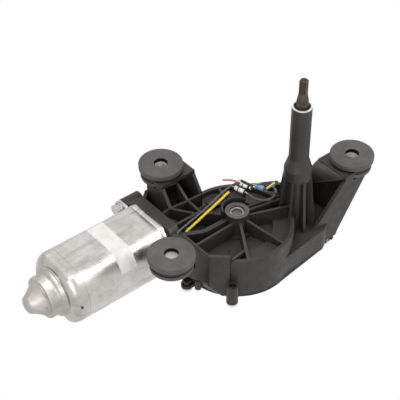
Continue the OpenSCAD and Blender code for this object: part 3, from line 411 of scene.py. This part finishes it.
def dress(obj, slot):
    obj.data.materials.clear()
    obj.data.materials.append(MATS[slot])
    return obj


for name, obj in nodes.items():
    dress(obj, slot_of[name])


# Mesh helpers


def lathe(name, profile, at, axis="z", steps=96, close=True):
    """Turns [radius, height] points, in mm, about an axis through the point at, in mm."""
    verts, faces = [], []
    n = len(profile)
    for k in range(steps):
        a = 2 * math.pi * k / steps
        c, s = math.cos(a), math.sin(a)
        for r, h in profile:
            p = (r * c, r * s, h) if axis == "z" else (h, r * c, r * s)
            verts.append(tuple((p[i] + at[i]) * MM for i in range(3)))
    for k in range(steps):
        j = (k + 1) % steps
        for i in range(n if close else n - 1):
            m = (i + 1) % n
            faces.append((k * n + i, j * n + i, j * n + m, k * n + m))
    obj = new_mesh(name, verts, faces)
    tidy_mesh(obj)
    return obj


def loft(name, rings, capped=False):
    """Joins rings of as many points each, in metres, into one skin."""
    n = len(rings[0])
    faces = []
    for j in range(len(rings) - 1):
        for i in range(n):
            m = (i + 1) % n
            faces.append((j * n + i, j * n + m, (j + 1) * n + m, (j + 1) * n + i))
    if capped:
        faces.append(tuple(range(n))[::-1])
        faces.append(tuple((len(rings) - 1) * n + i for i in range(n)))
    return new_mesh(name, [p for ring in rings for p in ring], faces)


def tidy_mesh(obj, dist=1e-6):
    bm = bmesh.new()
    bm.from_mesh(obj.data)
    bmesh.ops.remove_doubles(bm, verts=bm.verts, dist=dist)
    bmesh.ops.dissolve_degenerate(bm, edges=bm.edges, dist=1e-7)
    bmesh.ops.recalc_face_normals(bm, faces=bm.faces)
    bm.to_mesh(obj.data)
    bm.free()


def crisp(obj, angle=35, keep=False):
    """Smooth shading that keeps edges sharper than the angle, and the marked ones where keep is set."""
    bm = bmesh.new()
    bm.from_mesh(obj.data)
    for f in bm.faces:
        f.smooth = True
    limit = math.radians(angle)
    for e in bm.edges:
        plain = len(e.link_faces) == 2 and e.calc_face_angle(0) < limit
        e.smooth = plain and (e.smooth or not keep)
    bm.to_mesh(obj.data)
    bm.free()
    return obj


BOX_FACES = [(0, 1, 3, 2), (4, 6, 7, 5), (0, 4, 5, 1), (2, 3, 7, 6), (0, 2, 6, 4), (1, 5, 7, 3)]


def box_between(name, lo, hi):
    xs, ys, zs = ((lo[i] * MM, hi[i] * MM) for i in range(3))
    verts = [(x, y, z) for x in xs for y in ys for z in zs]
    return new_mesh(name, verts, BOX_FACES, False)


def rounded(obj, width, angle):
    """Rounds every edge of a small form by width, in mm, and keeps edges sharper than the angle crisp."""
    tidy_mesh(obj)
    mod = obj.modifiers.new("round", "BEVEL")
    mod.width = width * MM
    mod.segments = 2
    apply_mods(obj)
    crisp(obj, angle)


def boolean(obj, other, operation):
    mod = obj.modifiers.new("bool", "BOOLEAN")
    mod.object = other
    mod.operation = operation
    mod.solver = "EXACT"
    apply_mods(obj)
    mesh = other.data
    bpy.data.objects.remove(other)
    bpy.data.meshes.remove(mesh)


def softened(node, width, changes=()):
    """Stands in for a CAD node with the same shape and its sharp edges rounded by width, in mm.

    Changes are forms that are filled or cut away before the edges are rounded."""
    src = nodes[node]
    obj = link(bpy.data.objects.new(node + "_soft", src.data.copy()))
    for operation, form in changes:
        tidy_mesh(obj, 2e-6)
        boolean(obj, form(), operation)
    mesh = obj.data
    bm = bmesh.new()
    bm.from_mesh(mesh)
    bmesh.ops.remove_doubles(bm, verts=bm.verts, dist=2e-6)
    bmesh.ops.dissolve_limit(bm, angle_limit=math.radians(0.6), verts=bm.verts, edges=bm.edges)
    for e in bm.edges:
        turn_by = math.degrees(e.calc_face_angle(0)) if len(e.link_faces) == 2 else 90
        e.smooth = turn_by < 13.5
    for f in bm.faces:
        f.smooth = True
    bm.to_mesh(mesh)
    bm.free()
    mod = obj.modifiers.new("round", "BEVEL")
    mod.width = width * MM
    mod.segments = 2
    mod.limit_method = "ANGLE"
    mod.angle_limit = math.radians(32)
    mod.use_clamp_overlap = True
    mod.harden_normals = False
    mod.miter_outer = "MITER_ARC"
    apply_mods(obj)
    crisp(obj, 50, True)
    obj.data.materials.clear()
    stands_for(obj, slot_of[node], node)


def apply_mods(obj):
    graph = bpy.context.evaluated_depsgraph_get()
    baked = bpy.data.meshes.new_from_object(obj.evaluated_get(graph))
    obj.modifiers.clear()
    old = obj.data
    obj.data = baked
    bpy.data.meshes.remove(old)


def stands_for(obj, slot, node):
    """Puts a piece in a node's place, with its slot's look where it has none yet."""
    if not obj.data.materials:
        dress(obj, slot)
    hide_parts(node)
    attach(obj, BODY[node])


def goes_with(obj, look, node):
    """Adds a piece that the solids don't have, on the body of the node that carries it."""
    dress(obj, look)
    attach(obj, BODY[node])


# Gear housing and the other moulded pieces

# The motor's axis, in Y and Z
CAN_Y, CAN_Z = 35.4, 20.5


def box_form(lo, hi):
    return lambda: box_between("change", lo, hi)


def peg():
    profile = [(0, 4.8), (2.0, 4.8), (2.2, 5), (2.2, 13), (0, 13)]
    return lathe("peg", profile, (-40.4, -8.9, 0), "z", 32, False)


def slim_tunnel():
    """What is taken off the worm tunnel's upper half behind the chamber, to leave it stepped and slim."""
    kept = [(0, 33.4), (5.4, 33.4), (5.4, 22.6), (7.6, 21.2), (7.6, 6)]
    form = lathe("slim", kept + [(10.7, 6), (10.7, 37), (0, 37)], (0, CAN_Y, CAN_Z), "x", 72, False)
    chamber = lathe("chamber", [(0, -5), (38.05, -5), (38.05, 60), (0, 60)], (0, 0, 0), "z", 180, False)
    boolean(form, chamber, "DIFFERENCE")
    boolean(form, box_between("low", (-10, 0, -5), (60, 60, 17.3)), "DIFFERENCE")
    return form


# The screw boss by arm C is filled and cut flush with the arm's wall. The low boss beside the can's ear
# loses its recess, a rib leads to the peg beside it, and the worm tunnel gets slimmer.
HOUSING_CHANGES = (
    ("UNION", box_form((56, -29.4, 5), (62, -27, 18))),
    ("DIFFERENCE", box_form((54, -34.4, 4), (64, -29.4, 18.4))),
    ("UNION", box_form((-45.4, -3, 5.4), (-41, 1.4, 8))),
    ("UNION", box_form((-40.4, -10.2, 5), (-34, -7.6, 12))),
    ("UNION", peg),
    ("DIFFERENCE", slim_tunnel),
)
COVER_CHANGES = (("DIFFERENCE", box_form((54, -35, 1), (64, -29.4, 6))),)

softened("gear_housing", 0.35, changes=HOUSING_CHANGES)
softened("bottom_cover", 0.3, changes=COVER_CHANGES)
softened("cover_gasket", 0.05, changes=COVER_CHANGES)
softened("suppressor_holder", 0.3)
softened("connector_shell", 0.4)


# The cover's screws, with low domed heads under a flange

# X, Y and the screw's end in Z
SCREWS = ((-29.5, -30.5, 12.5), (-43.2, -0.8, 5.6), (59.0, -25.7, 12.5), (66.0, 6.0, 12.5),
          (24.0, 38.0, 12.5), (1.0, 59.0, 12.5), (-29.0, 61.0, 12.5))


def cover_screws():
    for k, (x, y, end) in enumerate(SCREWS):
        profile = [(0, 0.75), (1.3, 0.75), (1.35, 0.25), (3.2, 0.2), (3.6, 0.35), (3.75, 0.6), (3.75, 2.3),
                   (3.65, 2.45), (1.95, 2.46), (1.95, end - 0.4), (1.6, end), (0, end)]
        screw = lathe("cover_screw_%d" % k, profile, (x, y, 0), "z", 48, False)
        crisp(screw, 40)
        stands_for(dress(screw, "bright_steel"), "steel", "cover_screws")


cover_screws()


def corner_rib():
    """The short rib from the box's corner to the next rib, with its edges rounded."""
    a, b = Vector((-26.6, -25.7, 0)), Vector((-13.5, -24.3, 0))
    side = 0.9 * Vector((-(b - a).y, (b - a).x, 0)).normalized()
    verts = []
    for p in (a, b):
        for s in (-1, 1):
            for z in (29.0, 35.2):
                verts.append(tuple((p + s * side + Vector((0, 0, z))) * MM))
    rib = new_mesh("corner_rib", verts, BOX_FACES)
    rounded(rib, 0.35, 50)
    goes_with(rib, "housing_plastic", "gear_housing")


corner_rib()


# Motor can

# Radius, half height across the flats, radius of the long edges and of the closed end's edge
R_CAN, H_CAN, E_CAN, END_R = 25.0, 20.5, 4.0, 7.0
X_MOUTH, X_END = -45.0, -122.5


def can_ring(inset, steps=40):
    """Section of the can with its two flats as (y, z) points round the motor's axis, drawn in by inset."""
    r, h = R_CAN - inset, H_CAN - inset
    e = max(E_CAN - inset, 1.0)
    cy = math.sqrt((r - e) ** 2 - (h - e) ** 2)
    edge = math.atan2(h - e, cy)
    half = []
    for i in range(steps):
        a = -edge + 2 * edge * i / (steps - 1)
        half.append((r * math.cos(a), r * math.sin(a)))
    for i in range(1, 13):
        a = edge + (math.pi / 2 - edge) * i / 12
        half.append((cy + e * math.cos(a), h - e + e * math.sin(a)))
    for i in range(1, 24):
        half.append((cy - 2 * cy * i / 24, h))
    for i in range(0, 12):
        a = math.pi / 2 + (math.pi / 2 - edge) * i / 12
        half.append((-cy + e * math.cos(a), h - e + e * math.sin(a)))
    return half + [(-y, -z) for y, z in half]


# Way in from the mouth and depth of the shallow groove beside it
GROOVE = ((1.2, 0), (3.1, 0), (3.4, 0.1), (3.6, 0.3), (4.1, 0.32), (4.4, 0.12), (4.7, 0))
FOOT_R = 11.0


def can():
    sections = [(X_MOUTH, 1.6), (X_MOUTH, 0.25), (X_MOUTH - 0.25, 0.0)]
    sections += [(X_MOUTH - s, depth) for s, depth in GROOVE]
    sections += [(x, 0.0) for x in np.linspace(X_MOUTH - 8, X_END + END_R, 26)]
    for i in range(1, 15):
        a = math.pi / 2 * i / 14
        sections.append((X_END + END_R - END_R * math.sin(a), END_R - END_R * math.cos(a)))
    outer = []
    for x, inset in sections:
        outer.append([(x * MM, (CAN_Y + y) * MM, (CAN_Z + z) * MM) for y, z in can_ring(inset)])
    # The flat end closes in to the circle at the foot of the nose
    flat = can_ring(END_R)
    for k in range(1, 4):
        t = k / 3
        ring = []
        for y, z in flat:
            far = math.hypot(y, z)
            r = far + (FOOT_R - far) * t
            ring.append((X_END * MM, (CAN_Y + y / far * r) * MM, (CAN_Z + z / far * r) * MM))
        outer.append(ring)
    body = loft("can_shell", outer)
    tidy_mesh(body)
    crisp(body, 50)
    nose = [(0, -143.5), (2.6, -143.5), (4.2, -143.2), (5.4, -142.6), (6.3, -141.3), (6.9, -140.0),
            (9.2, -136.6), (11.3, -133.8), (11.9, -133.25), (12.5, -133.1), (12.7, -132.9), (12.7, -132.6),
            (13.4, -132.5), (14.0, -132.2), (14.35, -131.6), (14.4, -130.9), (14.5, -126.6), (14.9, -125.9),
            (16.0, -125.2), (16.6, -124.6), (16.9, -123.6), (17.2, -122.9), (17.9, -122.5), (17.9, -121.8),
            (0, -121.8)]
    tip = lathe("can_nose", nose, (0, CAN_Y, CAN_Z), "x", 96, False)
    crisp(tip, 42)
    return body, tip


can_shell, can_nose = can()


def flange_ears():
    """The can's two ears under the screw heads, kept from the solid's plan with rounded edges."""
    made = []
    ear_r, thick, foot = 5.6, 1.9, 21
    for k, (cy, cz) in enumerate(((65.8, 27.0), (5.0, 14.0))):
        side = 1 if cy > CAN_Y else -1
        pts = []
        for i in range(25):
            a = -math.pi / 2 + math.pi * i / 24
            pts.append((cy + side * ear_r * math.cos(a), cz + ear_r * math.sin(a)))
        pts.append((CAN_Y + side * foot, cz + ear_r))
        pts.append((CAN_Y + side * foot, cz - ear_r))
        verts = [(x * MM, y * MM, z * MM) for x in (X_MOUTH, X_MOUTH - thick) for y, z in pts]
        n = len(pts)
        faces = [tuple(range(n)), tuple(range(2 * n - 1, n - 1, -1))]
        faces += [(i, (i + 1) % n, n + (i + 1) % n, n + i) for i in range(n)]
        ear = new_mesh("can_ear_%d" % k, verts, faces, False)
        rounded(ear, 0.3, 40)
        made.append(ear)
    return made


for piece in [can_shell, can_nose] + flange_ears():
    stands_for(piece, "zinc", "motor_can")


# A small black drain plug low on the can's side, near its closed end

plug = box_between("can_drain", (-118.2, 10.35, 21.3), (-116.7, 11.6, 23.0))
goes_with(plug, "black_rubber", "motor_can")


# Bare label band across the can's flat and over its near edge

LABEL_X = (-85.2, -72.9)
# Each edge point's distance in from the band's end, and its height over the can
LABEL_EDGE = ((0, -0.02), (0, 0.06), (0.1, 0.1))


def label():
    cy = math.sqrt((R_CAN - E_CAN) ** 2 - (H_CAN - E_CAN) ** 2)
    edge = math.degrees(math.atan2(H_CAN - E_CAN, cy))
    path = [(cy + E_CAN * math.cos(a), H_CAN - E_CAN + E_CAN * math.sin(a), a)
            for a in np.radians(np.linspace(58, 90, 9))]
    path += [(y, H_CAN, math.pi / 2) for y in np.linspace(cy, -cy, 9)[1:-1]]
    path += [(-cy + E_CAN * math.cos(a), H_CAN - E_CAN + E_CAN * math.sin(a), a)
             for a in np.radians(np.linspace(90, 180 - edge, 12))]
    path += [(R_CAN * math.cos(a), R_CAN * math.sin(a), a)
             for a in np.radians(np.linspace(180 - edge, 159, 14)[1:])]
    across = [(LABEL_X[0] + inward, lift) for inward, lift in LABEL_EDGE]
    across += [(LABEL_X[1] - inward, lift) for inward, lift in reversed(LABEL_EDGE)]
    rings = []
    for y, z, a in path:
        rings.append([(x * MM, (CAN_Y + y + lift * math.cos(a)) * MM, (CAN_Z + z + lift * math.sin(a)) * MM)
                      for x, lift in across])
    obj = loft("can_label", rings, capped=True)
    tidy_mesh(obj, 1e-8)
    crisp(obj, 40)
    goes_with(obj, "label_film", "motor_can")


label()


# Grommets

EARS = ((-19, 56), (-67.5, -16.5), (86, -18))


def arc(cx, cy, r, a0, a1, n):
    return [(cx + r * math.cos(math.radians(a0 + (a1 - a0) * i / n)),
             cy + r * math.sin(math.radians(a0 + (a1 - a0) * i / n))) for i in range(n + 1)]


grommet_profile = (
    [(5, 48.2), (13, 48.2)]
    + arc(13.2, 48.8, 0.6, -90, 0, 4)
    + [(13.8, 50.9), (9.6, 51.0), (9.6, 53.5), (12.1, 53.5), (14.2, 54.3), (14.85, 54.9)]
    + arc(14.1, 55.9, 0.9, -20, 0, 3)
    + arc(14.1, 58.1, 0.9, 0, 90, 6)
    + [(9, 59.0), (5.2, 59.0)]
    + arc(5.0, 58.5, 0.5, 90, 180, 4)
    + [(4.5, 56.1), (5, 56.0)]
)
# A thin dark sleeve inside each grommet's bore paints the shade down in the hole
bore_shade_profile = [(4.38, 56.2), (4.38, 58.4), (4.5, 58.75), (4.7, 58.75), (4.7, 56.2)]
for k, (ex, ey) in enumerate(EARS):
    g = lathe("grommet_%s" % "abc"[k], grommet_profile, (ex, ey, 0), "z", 96)
    crisp(g, 38)
    stands_for(g, "grommet_rubber", "grommets")
    bore_shade = lathe("grommet_bore_%s" % "abc"[k], bore_shade_profile, (ex, ey, 0), "z", 64)
    goes_with(crisp(bore_shade, 40), "bore_painted_shade", "grommets")


# Spindle with its knurled taper and its thread

SX, SY = 41.0, -12.5
# Heights of both ends of the shaft, the taper and the thread, of the knurl's end and of the tip
SHAFT_Z, TAPER_Z, THREAD_Z = (5.6, 115.0), (115.2, 126.2), (126.9, 135.6)
KNURL_END, TIP_Z = 121.8, 136.4
FLUTES, FLUTE_DEPTH = 36, 0.22
THREAD_R, THREAD_DEPTH, PITCH = 2.98, 0.8, 1.5


def plain(r):
    return lambda a: r


def knurled(z):
    """Radius round the taper at a height: fluted at first, plain and steeper past the knurl."""
    r = 4.3 - (z - 115) * 0.08 if z < KNURL_END else 3.756 - (z - KNURL_END) * 0.195
    depth = FLUTE_DEPTH * max(0, min(1, (z - 115.1) / 0.6, (122.4 - z) / 0.9))
    return lambda a: r - depth * (0.5 + 0.5 * math.cos(a * FLUTES))


def threaded(z):
    """Radius round the thread at a height; the thread runs out at both ends."""
    fade = max(0, min(1, (z - 126.8) / 0.6, (136.0 - z) / 0.8))

    def radius(a):
        share = (z / PITCH - a / (2 * math.pi)) % 1.0
        return THREAD_R - THREAD_DEPTH * fade * abs(2 * share - 1)
    return radius


def spindle():
    rows = [(z, plain(4.5 if z > 6 else 4.0)) for z in np.linspace(*SHAFT_Z, 12)]
    rows += [(z, knurled(z)) for z in np.linspace(*TAPER_Z, 32)]
    rows += [(126.35, plain(2.7)), (126.8, plain(2.6))]
    rows += [(z, threaded(z)) for z in np.linspace(*THREAD_Z, 72)]
    rows += [(135.9, plain(2.5)), (136.3, plain(2.25)), (TIP_Z, plain(2.1))]
    round_by = [2 * math.pi * k / 160 for k in range(160)]
    rings = []
    for z, radius in rows:
        rings.append([((SX + radius(a) * math.cos(a)) * MM, (SY + radius(a) * math.sin(a)) * MM, z * MM)
                      for a in round_by])
    return crisp(loft("spindle_turned", rings, capped=True), 50)


stands_for(spindle(), "spindle_steel", "output_spindle")


# End of the wheel's axle with its retaining ring, seen in the boss

axle_profile = [(0, 14.6), (5.3, 14.6), (5.5, 14.8), (5.5, 16.0), (3.5, 16.0),
                (3.5, 42.2), (3.3, 42.6), (2.9, 42.8), (0.5, 42.8), (0, 42.5)]
axle = lathe("axle_turned", axle_profile, (0, 0, 0), "z", 64, False)
crisp(axle, 30)
stands_for(dress(axle, "axle_steel"), "spindle_steel", "wheel_axle")

ring_profile = arc(3.7, 42.7, 0.18, 270, 90, 3) + arc(4.62, 42.7, 0.18, 90, -90, 3)
ring = lathe("axle_ring_turned", ring_profile, (0, 0, 0), "z", 64)
crisp(ring, 50)
stands_for(dress(ring, "lever_steel"), "lever_steel", "axle_ring")


# Rounded lip along the edge where ear C's plate rolls over into its hood

def lip():
    hood_y, hood_z, lean, taper = -3.4, 42.6, math.radians(16.4), 0.2825
    ridge = [(69.7, y, 53.1) for y in np.linspace(-4.2, -28.0, 7)]
    edge = []
    for t in np.linspace(0.02, 0.93, 12):
        y, z = -3.3 - 26 * t, 36.7 + 16.4 * t
        # Along the hood's leaning axis, and square to it
        s = -math.cos(lean) * (y - hood_y) + math.sin(lean) * (z - hood_z)
        d = math.sin(lean) * (y - hood_y) + math.cos(lean) * (z - hood_z)
        edge.append((71.4 - math.sqrt((10.9 - taper * s) ** 2 - d * d), y, z))
    for name, pts, r in (("hood_lip", ridge, 0.85), ("hood_edge", edge, 0.75)):
        goes_with(tube(name, pts, r, 20, 2), "housing_plastic", "gear_housing")


# Wires, as smooth tubes along the source's routes; the red one runs a little differently

# Radius and route of each wire
ROUTES = {
    "yellow_sleeve": (0.88, [
        (-34.8, 10.4, 30), (-35.1, 10.4, 35), (-34.4, 10.2, 38.1), (-29, 10.5, 39.7), (-20, 11.2, 42.2),
        (-11, 11.8, 44.7), (-4, 12.3, 46.7), (2, 12.8, 48.5), (4, 12.9, 49)]),
    "grey_wire": (0.7, [
        (-42, 8.4, 30), (-42.2, 9.2, 35.5), (-41, 10.6, 40.8), (-31, 12.2, 42.2), (-20, 13.2, 44),
        (-10, 14.2, 46.2), (-2, 15, 48.4), (5, 15.6, 49.8), (8.6, 15.6, 50)]),
    "red_wire": (0.62, [
        (7.4, 23.4, 50.6), (9.9, 20.9, 51), (11.9, 18.6, 51), (13.6, 15.6, 50.8), (14.6, 14.2, 50.2)]),
    "black_wire": (0.8, [
        (12.2, 7.2, 48.9), (13.4, 3.4, 47.5), (16, 0, 45), (20, -3, 43.5), (25, -4.6, 42.6),
        (30, -3.4, 42), (34.4, 0.2, 41.8), (36.5, 3.4, 40), (37, 5.2, 36)]),
    "green_wire": (0.5, [
        (16.6, 7.2, 49), (18.7, 7.9, 48.8), (22, 8.8, 48.2), (24.9, 9, 47.1), (28, 9.6, 45.7),
        (30, 10.6, 43.4)]),
    "pale_sleeve": (0.9, [
        (30.6, 5.6, 41.8), (34, 5.4, 42.4), (37.6, 6.2, 42.2), (40, 8, 40), (40.6, 9, 36)]),
}


def tube(name, pts, r, sides=14, steps=8):
    """A smooth closed tube through points in mm."""
    p = np.array(pts, float)
    ext = np.vstack([2 * p[0] - p[1], p, 2 * p[-1] - p[-2]])
    path = []
    for i in range(1, len(ext) - 2):
        for s in range(steps):
            t = s / steps
            a, b, c, d = ext[i - 1], ext[i], ext[i + 1], ext[i + 2]
            path.append(0.5 * (2 * b + (c - a) * t + (2 * a - 5 * b + 4 * c - d) * t * t
                               + (3 * b - a - 3 * c + d) * t ** 3))
    path.append(p[-1])
    path = np.array(path)
    rings = []
    u = None
    for i, q in enumerate(path):
        d = path[min(i + 1, len(path) - 1)] - path[max(i - 1, 0)]
        d /= np.linalg.norm(d)
        if u is None:
            u = np.cross(d, (0, 0, 1.0)) if abs(d[2]) < 0.9 else np.cross(d, (0, 1.0, 0))
        u = u - d * np.dot(u, d)
        u /= np.linalg.norm(u)
        v = np.cross(d, u)
        turns = [2 * math.pi * k / sides for k in range(sides)]
        rings.append([tuple((q + r * (math.cos(a) * u + math.sin(a) * v)) * MM) for a in turns])
    obj = loft(name, rings, capped=True)
    tidy_mesh(obj, 1e-7)
    return crisp(obj, 60)


for name, (r, pts) in ROUTES.items():
    stands_for(tube(name + "_round", pts, r), slot_of[name], name)
lip()


# Chokes and the dipped capacitor, with their bands and leads


def turned_between(name, p, q, profile, steps=40):
    """Turns [radius, way from p] points, in mm, about the line from p to q."""
    p, q = Vector(p), Vector(q)
    aim = (q - p).to_track_quat("Z", "Y").to_matrix()
    verts, faces = [], []
    n = len(profile)
    for k in range(steps):
        a = 2 * math.pi * k / steps
        for r, h in profile:
            v = p + aim @ Vector((r * math.cos(a), r * math.sin(a), h))
            verts.append(tuple(v * MM))
    for k in range(steps):
        j = (k + 1) % steps
        for i in range(n - 1):
            faces.append((k * n + i, j * n + i, j * n + i + 1, k * n + i + 1))
    obj = new_mesh(name, verts, faces)
    tidy_mesh(obj)
    return crisp(obj, 40)


# Both ends, the radius, and where each white sleeve starts and stops along the rod
CHOKES = (((9.1, 14.2, 49.6), (11.8, 5.9, 49.3), 1.45, ((1.0, 3.3), (4.1, 8.0))),
          ((14.1, 14.4, 49.9), (16.5, 7.4, 49.4), 1.3, ((0.9, 2.6), (3.2, 6.4))),
          ((16.4, 15.6, 50.6), (19.8, 6.8, 49.2), 1.05, ()))


def choke(k, p, q, r, sleeves):
    p, q = Vector(p), Vector(q)
    length = (q - p).length
    rod = [(0, 0), (r - 0.7, 0), (r - 0.35, 0.15), (r - 0.15, 0.6), (r - 0.1, length - 0.6),
           (r - 0.35, length - 0.15), (r - 0.7, length), (0, length)]
    stands_for(turned_between("choke_%d" % k, p, q, rod), "holder_plastic", "chokes")
    for j, (a, b) in enumerate(sleeves):
        profile = [(r - 0.3, a), (r - 0.08, a + 0.02), (r, a + 0.15),
                   (r, b - 0.15), (r - 0.08, b - 0.02), (r - 0.3, b)]
        sleeve = turned_between("choke_sleeve_%d_%d" % (k, j), p, q, profile)
        goes_with(sleeve, "white_sleeve", "chokes")
    for j, (end, way) in enumerate(((p, p - q), (q, q - p))):
        way = way.normalized()
        lead = [end - way * 0.6, end + way * 0.8, end + way * 1.4 + Vector((0, 0, -0.8))]
        wire = tube("choke_lead_%d_%d" % (k, j), lead, 0.35, 10, 4)
        goes_with(wire, "steel", "chokes")


for k, (p, q, r, sleeves) in enumerate(CHOKES):
    choke(k, p, q, r, sleeves)

LONG_LEAD = [(19.4, 7.4, 49.1), (21.4, 4.6, 47.6), (24.4, 2.0, 45.6), (28.4, -0.4, 43.8), (33.4, -2.6, 42.4)]
goes_with(tube("choke_lead_long", LONG_LEAD, 0.5, 10, 6), "grey_plastic", "chokes")

CAP_LENGTH, CAP_TURN = 7.7, math.radians(-65.4)
cap_at = Vector((24.8, 11.6, 43.8))
cap_to = cap_at + CAP_LENGTH * Vector((math.cos(CAP_TURN), math.sin(CAP_TURN), 0))
dip = [(0, 0), (0.7, 0.02), (1.3, 0.25), (1.75, 0.8), (1.9, 1.6), (1.82, 2.6), (1.7, 3.8),
       (1.82, 5.1), (1.9, 6.1), (1.75, 6.9), (1.3, 7.45), (0.7, 7.68), (0, CAP_LENGTH)]
stands_for(turned_between("capacitor_dipped", cap_at, cap_to, dip), "blue_coat", "capacitor")
